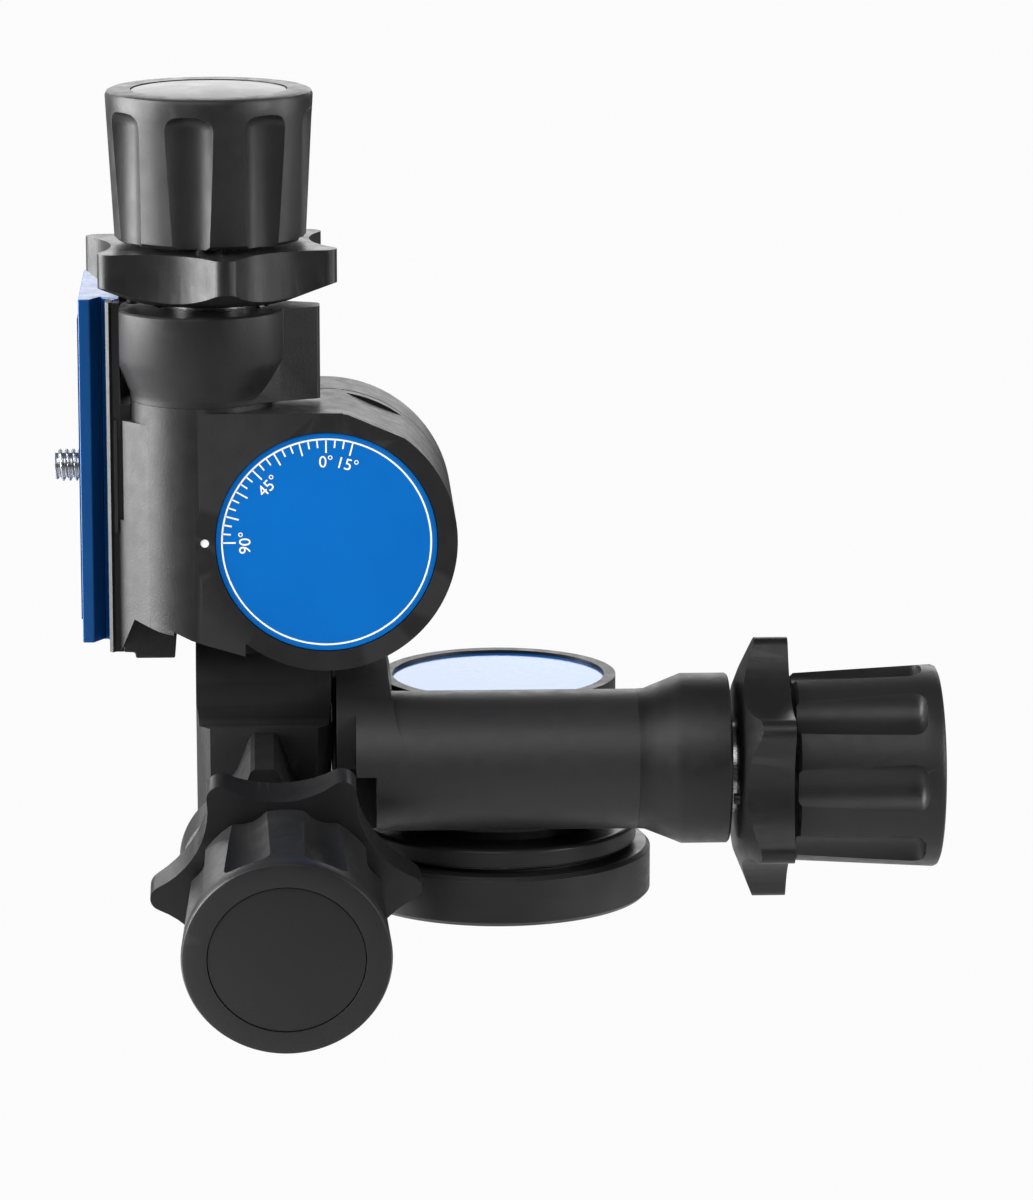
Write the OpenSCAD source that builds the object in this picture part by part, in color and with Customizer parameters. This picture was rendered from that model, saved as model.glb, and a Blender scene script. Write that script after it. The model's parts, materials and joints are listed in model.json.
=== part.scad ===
// Geared three-way tripod head, shown with the camera platform swung to the side.
// Three identical worm drives turn the head: a pan drive on the base, a front tilt
// drive beside it, and a side tilt drive above. Each has a knob and a winged collar.
// Millimetres. X right, Y away from the viewer, Z up. The origin is on the pan axis,
// at the base's underside.

/* [Worm drives] */
// distance from each wheel's axis to its worm
axis_gap = 21.3; // [20.8:0.1:21.6]
// teeth on each worm wheel
wheel_teeth = 48; // [40:4:48]
// pitch radius of each worm wheel
wheel_pitch_r = 14.4; // [14:0.1:14.6]
// width of each worm wheel
wheel_w = 4; // [3:0.2:4.4]
// radius of the worm shaft
shaft_r = 3; // [2.6:0.1:3.4]
// distance along the worm shaft from the wheel to the end of its knob
knob_end = 83.5; // [80:0.5:88]
// play between the worm thread and the wheel teeth, on each side
mesh_play = 0.17; // [0.14:0.01:0.2]

/* [Knobs and collars] */
// radius of a knob at its outer end
knob_r = 19.45; // [18.5:0.05:20.5]
// length of a knob
knob_len = 28; // [25:0.5:30]
// number of flutes around a knob
flute_count = 8; // [5:1:9]
// radius across the tips of a collar's wings
wing_r = 25.5; // [24:0.1:27]
// number of wings on a collar
wing_count = 6; // [5:1:7]

/* [Base and pan drive] */
// radius of the base ring
base_r = 29.8; // [28:0.1:32]
// height of the base ring
base_h = 9.7; // [9:0.1:11]
// radius of the pan drum
pan_r = 22.9; // [22:0.1:24]
// height of the pan drum's top face
pan_top = 43.3; // [42:0.1:44]
// height of the pan worm shaft
pan_worm_z = 29.1; // [28.6:0.1:29.6]

/* [Front tilt drive] */
// distance of the front tilt axis behind the pan axis
tilt_y = 2; // [1:0.1:3]
// height of the front tilt axis
tilt_z = 42.5; // [42:0.1:43]
// outer face of the front tilt block, left of the pan axis
block_left = 58.6; // [58:0.1:60]
// inner face of the front tilt block, left of the pan axis
block_right = 32.8; // [32.5:0.1:33.2]
// left offset of the front worm shaft
front_worm_x = 41.8; // [41:0.1:42.5]
// downward angle of the front worm shaft
front_drop = 10; // [5:0.5:15]

/* [Side tilt drive] */
// left offset of the side tilt axis
side_x = 33.6; // [33:0.1:34]
// height of the side tilt axis
side_z = 77; // [76.8:0.1:78]
// radius of the side tilt drum
side_r = 24.6; // [24:0.1:24.8]
// front face of the side tilt drum, in front of the pan axis
side_front = 37; // [36:0.1:38]
// front offset of the side worm shaft
side_worm_y = 20.5; // [20:0.1:21]

/* [Camera clamp] */
// length of the camera plate
plate_len = 66; // [56:1:66]
// width of the camera plate
plate_w = 38; // [36:0.5:42]
// thickness of the camera plate
plate_t = 7.6; // [7.2:0.1:8]
// radius of the camera screw
screw_r = 3.175; // [3:0.005:3.3]
// how far the camera screw stands out of the plate
screw_out = 5.4; // [4.5:0.1:6]

/* [Fits] */
// radial play of a turning shaft
turn_fit = 0.04; // [0.02:0.01:0.08]
// play beside a sliding or turning face
face_fit = 0.15; // [0.1:0.01:0.25]
// smoothness of round surfaces
$fn = 96; // [64:8:128]

/* [Hidden] */

// colours
black_satin = [0.10, 0.10, 0.105];
black_knob = [0.12, 0.12, 0.125];
black_deep = [0.05, 0.05, 0.055];
blue_dial = [0.0, 0.38, 0.70];
steel = [0.70, 0.71, 0.73];
bronze = [0.72, 0.53, 0.30];

// drive sizes, along the worm shaft from the wheel's foot
worm_pitch_r = axis_gap - wheel_pitch_r;
pitch = 2 * PI * wheel_pitch_r / wheel_teeth;
tooth_out = 0.5;
tooth_in = 0.72;
tooth_w = pitch / 2 - mesh_play;
wheel_tip_r = wheel_pitch_r + tooth_out;
worm_tip_r = worm_pitch_r + tooth_out;
worm_root_r = worm_pitch_r - tooth_in;
worm_turns = 7;
worm_half = pitch * (worm_turns + 1.6) / 2;
thread_steps = 20;
tube_r = 13.4;
tube_out = 2;
flare_r = 16.3;
seam_t = side_r + 0.9;
flare_t = seam_t + 8.5;
neck_end = seam_t + 17.5;
collar_t = neck_end + 1.5;
knob_t = knob_end - knob_len;
stop_pin_turn = -80;
bush_t0 = -14;
bush_t1 = -8.6;
bush_r = 5;
sleeve_r = 8.6;
sleeve_t = 10;
chamber_r = worm_tip_r + 0.5;
cavity_r = wheel_tip_r + 0.35;
spring_r = 10.1;
spring_wire = 0.5;
spring_room_r = 11.3;
spring_t = neck_end - 5.5;

// knob end and base radii
knob_base_r = knob_r - 1.45;
cap_r = knob_r * 0.755;
flute_margin = 3.2;

// tube centre offset along the wheel's axis, away from the fixed member
pan_tube = 2.4;
front_tube_r = (block_left - block_right) / 2;
front_tube = (block_left + block_right) / 2 - front_worm_x;
side_tube = -(side_front - tube_r - side_worm_y);

// spindles
spindle_r = 6;
journal_r = 9;

// ---- placing of the three drives ----
// in a drive's own frame the wheel turns about Z and the worm runs along X, below it in Y
module at_pan() {
    translate([0, 0, pan_worm_z])
        children();
}

module at_front() {
    translate([-front_worm_x, tilt_y, tilt_z])
        rotate([90 + front_drop, 0, 0])
            rotate([0, -90, 0])
                children();
}

module at_side() {
    translate([-side_x, -side_worm_y, side_z])
        rotate([0, 0, -90])
            rotate([0, -90, 0])
                children();
}

// on the worm shaft's axis, with the shaft along Z of the child and t = 0 at the wheel
module on_worm() {
    translate([0, -axis_gap, 0])
        rotate([0, 90, 0])
            children();
}

// ring between two radii
module ring(r_out, r_in, h) {
    difference() {
        cylinder(r = r_out, h = h);
        translate([0, 0, -1])
            cylinder(r = r_in, h = h + 2);
    }
}

// ---- worm and wheel ----
function wheel_point(tooth, r, half_w) =
    let (a = 360 * tooth / wheel_teeth)
    [r * cos(a) - half_w * sin(a), r * sin(a) + half_w * cos(a)];

// one tooth is a trapezium, narrower at the tip
module wheel_2d() {
    root = wheel_pitch_r - tooth_in;
    tip_w = tooth_w / 2 - tooth_out * tan(20);
    root_w = tooth_w / 2 + tooth_in * tan(20);
    polygon([for (i = [0 : wheel_teeth - 1]) each [
        wheel_point(i, root, -root_w),
        wheel_point(i, wheel_tip_r, -tip_w),
        wheel_point(i, wheel_tip_r, tip_w),
        wheel_point(i, root, root_w)
    ]]);
}

// the wheel sits with a tooth space on the worm's side
module worm_wheel(bore_r) {
    color(bronze)
    rotate([0, 0, -90 + 180 / wheel_teeth])
    difference() {
        translate([0, 0, -wheel_w / 2])
            linear_extrude(wheel_w)
                wheel_2d();
        translate([0, 0, -wheel_w])
            cylinder(r = bore_r, h = 2 * wheel_w);
    }
}

// one step of the thread's section, at step i along the helix
function thread_point(i, r, x) =
    let (a = 360 * i / thread_steps)
    [r * cos(a), r * sin(a), pitch * (i / thread_steps - 0.25 - (worm_turns - 1) / 2) + x];

// helical thread and core in one skin: five rings of points, then the two end faces
module worm_skin() {
    n = thread_steps;
    last = worm_turns * n;
    rw = tooth_w / 2 + tooth_in * tan(20);
    tw = tooth_w / 2 - tooth_out * tan(20);
    strip = [for (i = [0 : last]) each [
        thread_point(i, worm_root_r, -rw),
        thread_point(i, worm_tip_r, -tw),
        thread_point(i, worm_tip_r, tw),
        thread_point(i, worm_root_r, rw)
    ]];
    low = [for (i = [0 : n - 1])
        let (a = 360 * i / n)
        [worm_root_r * cos(a), worm_root_r * sin(a), -worm_half]];
    high = [for (i = [0 : n - 1])
        let (a = 360 * i / n)
        [worm_root_r * cos(a), worm_root_r * sin(a), worm_half]];
    a0 = len(strip);
    b0 = a0 + n;
    flanks = [for (i = [0 : last - 1], k = [0 : 2]) each [
        [4 * i + k, 4 * i + k + 1, 4 * i + k + 5],
        [4 * i + k, 4 * i + k + 5, 4 * i + k + 4]
    ]];
    roots = [for (i = [0 : last - n - 1]) each [
        [4 * i + 3, 4 * (i + n), 4 * (i + n + 1)],
        [4 * i + 3, 4 * (i + n + 1), 4 * (i + 1) + 3]
    ]];
    first = [for (i = [0 : n - 2]) each [
        [a0 + i, 4 * i, 4 * (i + 1)],
        [a0 + i, 4 * (i + 1), a0 + i + 1]
    ]];
    // the last strip of the low end meets the start of the thread
    low_hub = a0 + n - 1;
    first_end = [
        [low_hub, 4 * (n - 1), 4 * n],
        [low_hub, 4 * n, 3],
        [low_hub, 3, 0],
        [low_hub, 0, a0]
    ];
    top = last - n;
    ends_up = [for (i = [1 : n - 1]) each [
        [4 * (top + i) + 3, b0 + (i + 1) % n, 4 * (top + i + 1) + 3],
        [4 * (top + i) + 3, b0 + i, b0 + (i + 1) % n]
    ]];
    // the first strip of the high end meets the stop of the thread
    high_hub = 4 * (top + 1) + 3;
    up_start = [
        [high_hub, 4 * top + 3, 4 * last],
        [high_hub, 4 * last, 4 * last + 3],
        [high_hub, 4 * last + 3, b0],
        [high_hub, b0, b0 + 1]
    ];
    start_face = [[0, 3, 2, 1]];
    stop_face = [[4 * last, 4 * last + 1, 4 * last + 2, 4 * last + 3]];
    low_face = [[for (i = [0 : n - 1]) a0 + i]];
    high_face = [[for (i = [0 : n - 1]) b0 + n - 1 - i]];
    polyhedron(points = concat(strip, low, high),
        faces = concat(flanks, roots, first, first_end, ends_up, up_start,
            start_face, stop_face, low_face, high_face), convexity = 8);
}

// the whole worm shaft, from the inner bush to the knob
module worm_shaft() {
    color(steel)
    on_worm()
    union() {
        worm_skin();
        translate([0, 0, bush_t0])
            cylinder(r = shaft_r, h = -bush_t0);
        cylinder(r = shaft_r, h = knob_end - 4.5);
        translate([0, 0, knob_end - 4.5])
            cylinder(r = 2.6, h = 2.2);
    }
}

// ---- knobs ----
// blunt round-nosed cutter for one flute
module flute_tool(r, h) {
    nose = 2.6;
    rotate_extrude($fn = 48)
        polygon(concat([[0, 0], [r, 0]],
            [for (a = [0 : 22.5 : 90]) [r - nose + nose * cos(a), h - nose + nose * sin(a)]],
            [[0, h]]));
}

// bevelled body that widens outwards, with a seat for the cap, flutes and a shaft bore
module knob(turn) {
    color(black_knob)
    on_worm()
    difference() {
        rotate_extrude()
            polygon([
                [0, knob_t],
                [knob_base_r - 0.6, knob_t],
                [knob_base_r, knob_t + 0.6],
                [knob_r, knob_end - 1.0],
                [knob_r - 0.3, knob_end - 0.3],
                [knob_r - 1.0, knob_end],
                [cap_r, knob_end],
                [cap_r, knob_end - 1.2],
                [0, knob_end - 1.2]
            ]);
        for (i = [0 : flute_count - 1])
            rotate([0, 0, turn + 360 * i / flute_count])
                translate([knob_r + 3.2, 0, knob_t - 1])
                    flute_tool(6.1, knob_len + 1 - flute_margin);
        translate([0, 0, knob_t - 1])
            cylinder(r = shaft_r, h = knob_len - 3.5);
        translate([0, 0, knob_end - 4.5])
            cylinder(r = 5.5, h = 5);
    }
}

// domed cap inside the rim
module knob_cap() {
    dome = 0.9;
    big_r = (pow(cap_r - 0.05, 2) + dome * dome) / (2 * dome);
    color(black_deep)
    on_worm()
    intersection() {
        translate([0, 0, knob_end - 1.2])
            cylinder(r = cap_r - 0.05, h = 3);
        translate([0, 0, knob_end - 0.2 + dome - big_r])
            sphere(r = big_r, $fn = 200);
    }
}

// ---- release collars ----
// winged outline: round wing tips joined by wide hollows that touch them smoothly
module wings_2d(turn) {
    steps = 5;
    valley = wing_r * 18.8 / 25.5;
    tip = wing_r * 2.5 / 25.5;
    tip_d = wing_r - tip;
    half = 180 / wing_count;
    cut_d = (tip_d * tip_d - pow(valley - tip, 2))
        / (2 * (tip_d * cos(half) - valley + tip));
    cut_r = cut_d - valley;
    lean = atan2(cut_d * sin(half), cut_d * cos(half) - tip_d);
    rotate(turn)
        polygon([for (i = [0 : wing_count - 1])
            let (a = 2 * half * i, b = a + half)
            each concat(
                [for (k = [-steps : steps])
                    let (c = a + lean * k / steps)
                    tip_d * [cos(a), sin(a)] + tip * [cos(c), sin(c)]],
                [for (k = [1 : 2 * steps - 1])
                    let (c = a + 180 + lean + (half - lean) * k / steps)
                    cut_d * [cos(b), sin(b)] + cut_r * [cos(c), sin(c)]]
            )]);
}

// flat on the knob's side, sloping in on the drive's side, with a stop pin there
module collar(turn) {
    pin_r = 1.05;
    color(black_knob)
    on_worm()
    difference() {
        union() {
            intersection() {
                translate([0, 0, collar_t])
                    linear_extrude(knob_t - collar_t)
                        wings_2d(turn);
                rotate_extrude()
                    polygon([
                        [0, collar_t],
                        [flare_r, collar_t],
                        [wing_r + 0.5, collar_t + 3.9],
                        [wing_r + 0.5, knob_t - 1.0],
                        [0, knob_t - 1.0]
                    ]);
            }
            rotate([0, 0, stop_pin_turn])
                translate([flare_r - pin_r - 0.3, 0, neck_end + 0.35])
                    cylinder(r = pin_r, h = 4);
        }
        translate([0, 0, collar_t - 3])
            cylinder(r = sleeve_r, h = knob_t);
    }
}

// sleeve that carries the worm shaft inside the neck
module sleeve() {
    color(steel)
    on_worm()
    difference() {
        translate([0, 0, sleeve_t])
            cylinder(r = sleeve_r, h = knob_t - 1.0 - sleeve_t);
        cylinder(r = shaft_r + turn_fit, h = knob_end);
        translate([0, 0, sleeve_t + 5])
            cylinder(r = shaft_r + 1.2, h = knob_t - sleeve_t - 12);
    }
}

// return spring around the sleeve
module spring() {
    turns = 3.5;
    step = 16;
    n = turns * step;
    rise = (neck_end - spring_t - 1.6) / turns;
    skin = [for (i = [0 : n], k = [0 : 5])
        let (a = 360 * i / step, b = 60 * k)
        [
            (spring_r + spring_wire * cos(b)) * cos(a),
            (spring_r + spring_wire * cos(b)) * sin(a),
            spring_t + 0.6 + rise * i / step + spring_wire * sin(b)
        ]];
    sides = [for (i = [0 : n - 1], k = [0 : 5]) each [
        [6 * i + k, 6 * (i + 1) + k, 6 * (i + 1) + (k + 1) % 6],
        [6 * i + k, 6 * (i + 1) + (k + 1) % 6, 6 * i + (k + 1) % 6]
    ]];
    color(steel)
    on_worm()
        polyhedron(points = skin,
            faces = concat(sides, [[for (k = [0 : 5]) k]], [[for (k = [0 : 5]) 6 * n + 5 - k]]),
            convexity = 4);
}

// ---- castings shared by the drives ----
// neck that carries the sleeve: a cone, a straight flare and a tapered rib
module neck(side, narrow_r) {
    y0 = -axis_gap - tube_out;
    difference() {
        union() {
            translate([0, y0, side])
                rotate([0, 90, 0])
                    rotate_extrude()
                        polygon([
                            [0, seam_t],
                            [narrow_r, seam_t],
                            [narrow_r + 0.1, seam_t + 1.5],
                            [flare_r, flare_t],
                            [flare_r, neck_end - 0.4],
                            [flare_r - 0.4, neck_end],
                            [0, neck_end]
                        ]);
            translate([seam_t, 0, side])
                rotate([90, 0, 90])
                    linear_extrude(neck_end - seam_t)
                        polygon([
                            [y0 + 9, -9.5],
                            [y0 + 15, -5.2],
                            [-axis_gap + 19.9, -2.6],
                            [-axis_gap + 20.4, -1.8],
                            [-axis_gap + 20.4, 1.8],
                            [-axis_gap + 19.9, 2.6],
                            [y0 + 15, 5.2],
                            [y0 + 9, 9.5]
                        ]);
        }
        on_worm() {
            translate([0, 0, seam_t - 1])
                cylinder(r = sleeve_r + turn_fit, h = neck_end);
            translate([0, 0, spring_t])
                cylinder(r = spring_room_r, h = 10);
        }
    }
}

// everything a housing leaves free for the worm, its bush and its sleeve
module worm_room() {
    on_worm() {
        translate([0, 0, bush_t0])
            cylinder(r = bush_r, h = 10);
        translate([0, 0, bush_t1])
            cylinder(r = chamber_r, h = sleeve_t - 0.5 - bush_t1);
        translate([0, 0, sleeve_t - 0.6])
            cylinder(r = sleeve_r + turn_fit, h = seam_t);
    }
}

// room for the wheel and its nut: web side, then open to the free face
module wheel_room(web_z, free_z) {
    flip = free_z < 0 ? 1 : 0;
    len = abs(free_z) + wheel_w / 2 + 0.3;
    rotate([180 * flip, 0, 0])
        translate([0, 0, -wheel_w / 2 - 0.3])
            cylinder(r = cavity_r, h = len);
    rotate([180 * flip, 0, 0])
        translate([0, 0, -abs(web_z) - 1])
            cylinder(r = journal_r + turn_fit, h = abs(web_z) + 2);
}

module bush() {
    color(bronze)
    on_worm()
        translate([0, 0, bush_t0 + 0.3])
            ring(bush_r, shaft_r + turn_fit, bush_t1 - bush_t0 - 0.5);
}

// spindle in a drive's frame: journal up to the wheel, then the wheel and nut seat
module spindle(web_len, free_len) {
    translate([0, 0, -web_len])
        cylinder(r = journal_r, h = web_len - wheel_w / 2);
    translate([0, 0, -web_len])
        cylinder(r = spindle_r, h = web_len + free_len);
}

module spindle_nut() {
    translate([0, 0, wheel_w / 2])
        difference() {
            cylinder(r = 10.4, h = 4.5, $fn = 6);
            translate([0, 0, -1])
                cylinder(r = spindle_r, h = 7);
        }
}

// ---- base ----
module base_ring() {
    color(black_satin)
    difference() {
        rotate_extrude()
            polygon([
                [0, 0],
                [base_r - 0.8, 0],
                [base_r, 0.8],
                [base_r, base_h - 0.8],
                [base_r - 0.8, base_h],
                [0, base_h]
            ]);
        translate([0, 0, -1])
            cylinder(r = 4, h = 9);
    }
}

ring_gap = 0.8;
ring_h = 4;
neck_r = 19;

module index_ring() {
    color(black_satin)
    translate([0, 0, base_h + ring_gap])
        rotate_extrude()
            polygon([
                [neck_r, 0],
                [26.6, 0],
                [27, 0.4],
                [27, ring_h - 0.5],
                [26.5, ring_h],
                [neck_r, ring_h]
            ]);
}

pan_low = base_h + ring_gap + ring_h + 2.5;

module pan_spindle() {
    color(black_deep)
    union() {
        translate([0, 0, base_h])
            cylinder(r = 25, h = ring_gap);
        translate([0, 0, base_h + ring_gap])
            cylinder(r = neck_r, h = ring_h + 2);
        at_pan()
            spindle(pan_worm_z - base_h - ring_gap - ring_h - 2, 9);
    }
}

module pan_thrust_washer() {
    color(steel)
    translate([0, 0, pan_low - 0.5])
        ring(17, journal_r + turn_fit, 0.4);
}

module pan_wheel() {
    at_pan()
        worm_wheel(spindle_r);
}

module pan_nut() {
    color(steel)
    at_pan()
        spindle_nut();
}

// ---- pan body ----
cap_seat_r = pan_r - 2.25;
cap_seat = 3.1;
boss_r = 9.2;
arm_pad_r = 17;
arm_pad = 0.7;
arm_left = 31.8;
arm_right = 22.4;

// side outline of the arm: Y across, Z up. It stands proud of the tube's top and
// runs into the tube at its front.
module arm_2d() {
    proud = 0.6;
    ty = -axis_gap - tube_out + proud;
    tz = pan_worm_z + pan_tube;
    big = tube_r + proud;
    gap_len = sqrt(pow(tilt_y - ty, 2) + pow(tilt_z - tz, 2));
    lean = atan2(tilt_z - tz, tilt_y - ty) + acos((big - boss_r) / gap_len);
    polygon([
        [ty, tz - tube_r],
        [tilt_y + boss_r, tz - tube_r],
        [tilt_y + boss_r, tilt_z],
        [tilt_y, tilt_z],
        [tilt_y + boss_r * cos(lean), tilt_z + boss_r * sin(lean)],
        [ty + big * cos(lean), tz + big * sin(lean)],
        [ty, tz]
    ]);
    translate([tilt_y, tilt_z])
        circle(r = boss_r);
    difference() {
        translate([ty, tz])
            circle(r = big);
        translate([ty - 2 * big, tz - 2 * big])
            square([4 * big, 2 * big]);
    }
}

// front outline of the arm, sweeping out towards the tube: X across, Z up
module arm_front_2d() {
    polygon([
        [-arm_left, 0],
        [-arm_left, 60],
        [-arm_right, 60],
        [-arm_right, 52.5],
        [-21.8, 46.9],
        [-20.4, 40.2],
        [-18.1, 34.5],
        [-15.8, 30.8],
        [-13.5, 27.5],
        [-13.5, 0]
    ]);
}

// thin pad low on the arm's left face, around the tilt spindle
module arm_pad_2d() {
    intersection() {
        arm_2d();
        translate([tilt_y, tilt_z])
            difference() {
                circle(r = arm_pad_r);
                circle(r = journal_r + turn_fit);
                translate([-arm_pad_r, -2.4])
                    square([2 * arm_pad_r, 2 * arm_pad_r]);
            }
    }
}

module pan_housing() {
    color(black_satin)
    difference() {
        union() {
            translate([-arm_left - arm_pad, 0, 0])
                rotate([90, 0, 90])
                    linear_extrude(arm_pad + 0.5)
                        arm_pad_2d();
            translate([0, 0, pan_low])
                cylinder(r = pan_r, h = pan_top - pan_low);
            at_pan()
                translate([-arm_right - 2, -axis_gap - tube_out, pan_tube])
                    rotate([0, 90, 0])
                        cylinder(r = tube_r, h = arm_right + 2 + seam_t);
            intersection() {
                translate([-arm_left, 0, 0])
                    rotate([90, 0, 90])
                        linear_extrude(arm_left)
                            arm_2d();
                translate([0, 30, 0])
                    rotate([90, 0, 0])
                        linear_extrude(80)
                            arm_front_2d();
            }
        }
        at_pan() {
            worm_room();
            wheel_room(20, pan_top - cap_seat - pan_worm_z);
        }
        translate([0, 0, pan_top - cap_seat])
            cylinder(r = cap_seat_r, h = 4);
        translate([-arm_left - 1, tilt_y, tilt_z])
            rotate([0, 90, 0])
                cylinder(r = spindle_r, h = 8.3);
        difference() {
            translate([-arm_left - 1, tilt_y, tilt_z])
                rotate([0, 90, 0])
                    cylinder(r = 70, h = 4.6);
            translate([-arm_left - 2, tilt_y, tilt_z])
                rotate([0, 90, 0])
                    cylinder(r = 33.4, h = 8);
        }
    }
}

module pan_cap() {
    color(blue_dial)
    translate([0, 0, pan_top - cap_seat])
        cylinder(r = cap_seat_r - 0.05, h = 2.5);
}

module pan_neck() {
    color(black_satin)
    at_pan()
        neck(pan_tube, tube_r);
}

module pan_bush() {
    at_pan()
        bush();
}

module front_spindle() {
    color(steel)
    at_front() {
        spindle(front_worm_x - arm_left, 9);
        translate([0, 0, -(front_worm_x - arm_left) - 7])
            cylinder(r = spindle_r, h = 8);
    }
}

module front_wheel() {
    at_front()
        worm_wheel(spindle_r);
}

module front_nut() {
    color(steel)
    at_front()
        spindle_nut();
}

// ---- front tilt body ----
block_r = 24;
block_low = -axis_gap - tube_out;
bracket_front = 9.7;
bracket_back = 4;
bracket_foot = 59.6;

// space the side tilt housing takes, seen from the front, grown by a small gap
module side_clear_2d() {
    circle(r = side_r + 0.8);
    polygon([
        [-50, -9],
        [-36.6, -15.2],
        [-25.8, -19.8],
        [-15.6, -22.9],
        [-9.3, -23.8],
        [0, -10],
        [0, 30],
        [-50, 30]
    ]);
}

front_dial_r = 16.2;

module front_housing() {
    free = block_left - front_worm_x;
    web = block_right - front_worm_x;
    color(black_satin)
    difference() {
        at_front()
            union() {
                difference() {
                    union() {
                        translate([0, 0, web])
                            cylinder(r = block_r, h = free - web);
                        rotate([90, 0, 0])
                            translate([bush_t0 - 2, web])
                                cube([seam_t - bush_t0 + 2, free - web, -block_low]);
                    }
                    for (s = [0, 1])
                        translate([seam_t, -8, front_tube])
                            mirror([0, 0, s])
                                rotate([-90, 0, 0])
                                    linear_extrude(40, center = true)
                                        polygon([
                                            [-1.9, front_tube_r + 0.01],
                                            [0, front_tube_r - 2.6],
                                            [3, front_tube_r - 6.7],
                                            [3, front_tube_r + 0.01]
                                        ]);
                }
                translate([bush_t0 - 2, block_low, front_tube])
                    rotate([0, 90, 0])
                        cylinder(r = front_tube_r, h = seam_t - bush_t0 + 2);
            }
        at_front() {
            worm_room();
            wheel_room(20, free - 3);
            translate([0, 0, free - 3])
                cylinder(r = front_dial_r + face_fit, h = 4);
        }
        translate([-side_x, -bracket_front, side_z])
            rotate([90, 0, 0])
                linear_extrude(60)
                    side_clear_2d();
        translate([-80, -bracket_front - 0.1, bracket_foot])
            cube([60, 60, 30]);
    }
}

module front_neck() {
    color(black_satin)
    at_front()
        neck(front_tube, front_tube_r);
}

module front_bush() {
    at_front()
        bush();
}

// fixed scale on the end of the front tilt spindle
module front_dial() {
    free = block_left - front_worm_x;
    color(blue_dial)
    at_front()
        difference() {
            union() {
                translate([0, 0, free - 2.8])
                    cylinder(r = front_dial_r, h = 2.4);
                translate([0, 0, 7])
                    cylinder(r = 8.5, h = free - 9);
            }
            translate([0, 0, 0])
                cylinder(r = spindle_r, h = 9);
        }
}

// upright behind the side tilt drum, on the front tilt block
module side_bracket() {
    color(black_satin)
    difference() {
        union() {
            translate([-side_x, bracket_back, side_z])
                rotate([90, 0, 0])
                    cylinder(r = side_r, h = bracket_back + bracket_front);
            translate([-block_left + 0.4, -bracket_front, bracket_foot])
                cube([block_left - block_right - 0.4, bracket_back + bracket_front,
                    side_z - bracket_foot]);
            translate([-block_left + 0.4, -bracket_front, bracket_foot])
                cube([block_left - block_right - 0.4, bracket_front + 18, 5]);
        }
        translate([-side_x, bracket_back + 1, side_z])
            rotate([90, 0, 0])
                cylinder(r = spindle_r, h = 30);
        translate([-80, -20, bracket_foot - 30])
            cube([80 - block_right + 0.6, 50, 30]);
    }
}

module side_spindle() {
    color(steel)
    at_side()
        rotate([180, 0, 0]) {
            spindle(side_worm_y - bracket_front, 11);
            translate([0, 0, -side_worm_y - bracket_back])
                cylinder(r = spindle_r, h = bracket_back + bracket_front + 1);
        }
}

module side_wheel() {
    at_side()
        worm_wheel(spindle_r);
}

module side_nut() {
    color(steel)
    at_side()
        rotate([180, 0, 0])
            spindle_nut();
}

// fixed scale on the end of the side tilt spindle
dial_r = 20.75;
module side_dial() {
    free = side_front - side_worm_y;
    color(blue_dial)
    at_side()
        rotate([180, 0, 0])
            difference() {
                union() {
                    translate([0, 0, free - 2.8])
                        cylinder(r = dial_r, h = 2.4);
                    translate([0, 0, 7])
                        cylinder(r = 8.5, h = free - 9);
                }
                cylinder(r = spindle_r, h = 11);
            }
}

// ---- side tilt body ----
side_back = 10.2;

module side_housing() {
    left = -side_x - axis_gap - tube_out;
    depth = side_front - side_back;
    color(black_satin)
    difference() {
        union() {
            difference() {
                translate([-side_x, -side_back, side_z])
                    rotate([90, 0, 0])
                        cylinder(r = side_r, h = depth);
                translate([-side_x + 3.3, -side_front - 1, side_z + side_r])
                    rotate([0, 23.2, 0])
                        cube([20, 25, 8]);
            }
            translate([-side_x, -side_back, side_z])
                rotate([90, 0, 0])
                    linear_extrude(depth)
                        polygon([
                            [-axis_gap - tube_out, side_r - 0.05],
                            [3.2, side_r - 0.05],
                            [0, 0],
                            [-15.4, -19.1],
                            [-15.4, -21.75],
                            [-axis_gap - tube_out, -19.4]
                        ]);
            intersection() {
                translate([left, -side_front + tube_r, side_z - 24])
                    cylinder(r = tube_r, h = 24 + seam_t);
                translate([-side_x, 0, side_z])
                    rotate([90, 0, 0])
                        linear_extrude(60)
                            polygon([
                                [-40, 40],
                                [-40, -12.1],
                                [-35.4, -14.2],
                                [-25.4, -18.7],
                                [-15.4, -21.8],
                                [-9.5, -22.4],
                                [-9.5, 40]
                            ]);
            }
        }
        at_side() {
            worm_room();
            wheel_room(20, -(side_front - side_worm_y - 3.1));
        }
        translate([-side_x, -side_front + 3.1, side_z])
            rotate([90, 0, 0])
                cylinder(r = dial_r + face_fit, h = 5);
        translate([left + 0.5, -side_front - 1, side_z])
            rotate([-90, 0, 0])
                cylinder(r = 0.8, h = 1.7);
    }
}

module index_dot() {
    color([0.9, 0.9, 0.9])
    translate([-side_x - axis_gap - tube_out + 0.5, -side_front + 0.1, side_z])
        rotate([-90, 0, 0])
            cylinder(r = 0.8, h = 0.6);
}

// trimmed flat beside the camera plate
module side_neck() {
    color(black_satin)
    difference() {
        at_side()
            neck(side_tube, tube_r);
        translate([-plate_out, -60, side_z])
            cube([plate_t + 0.2, 60, 60]);
    }
}

module side_bush() {
    at_side()
        bush();
}

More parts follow.
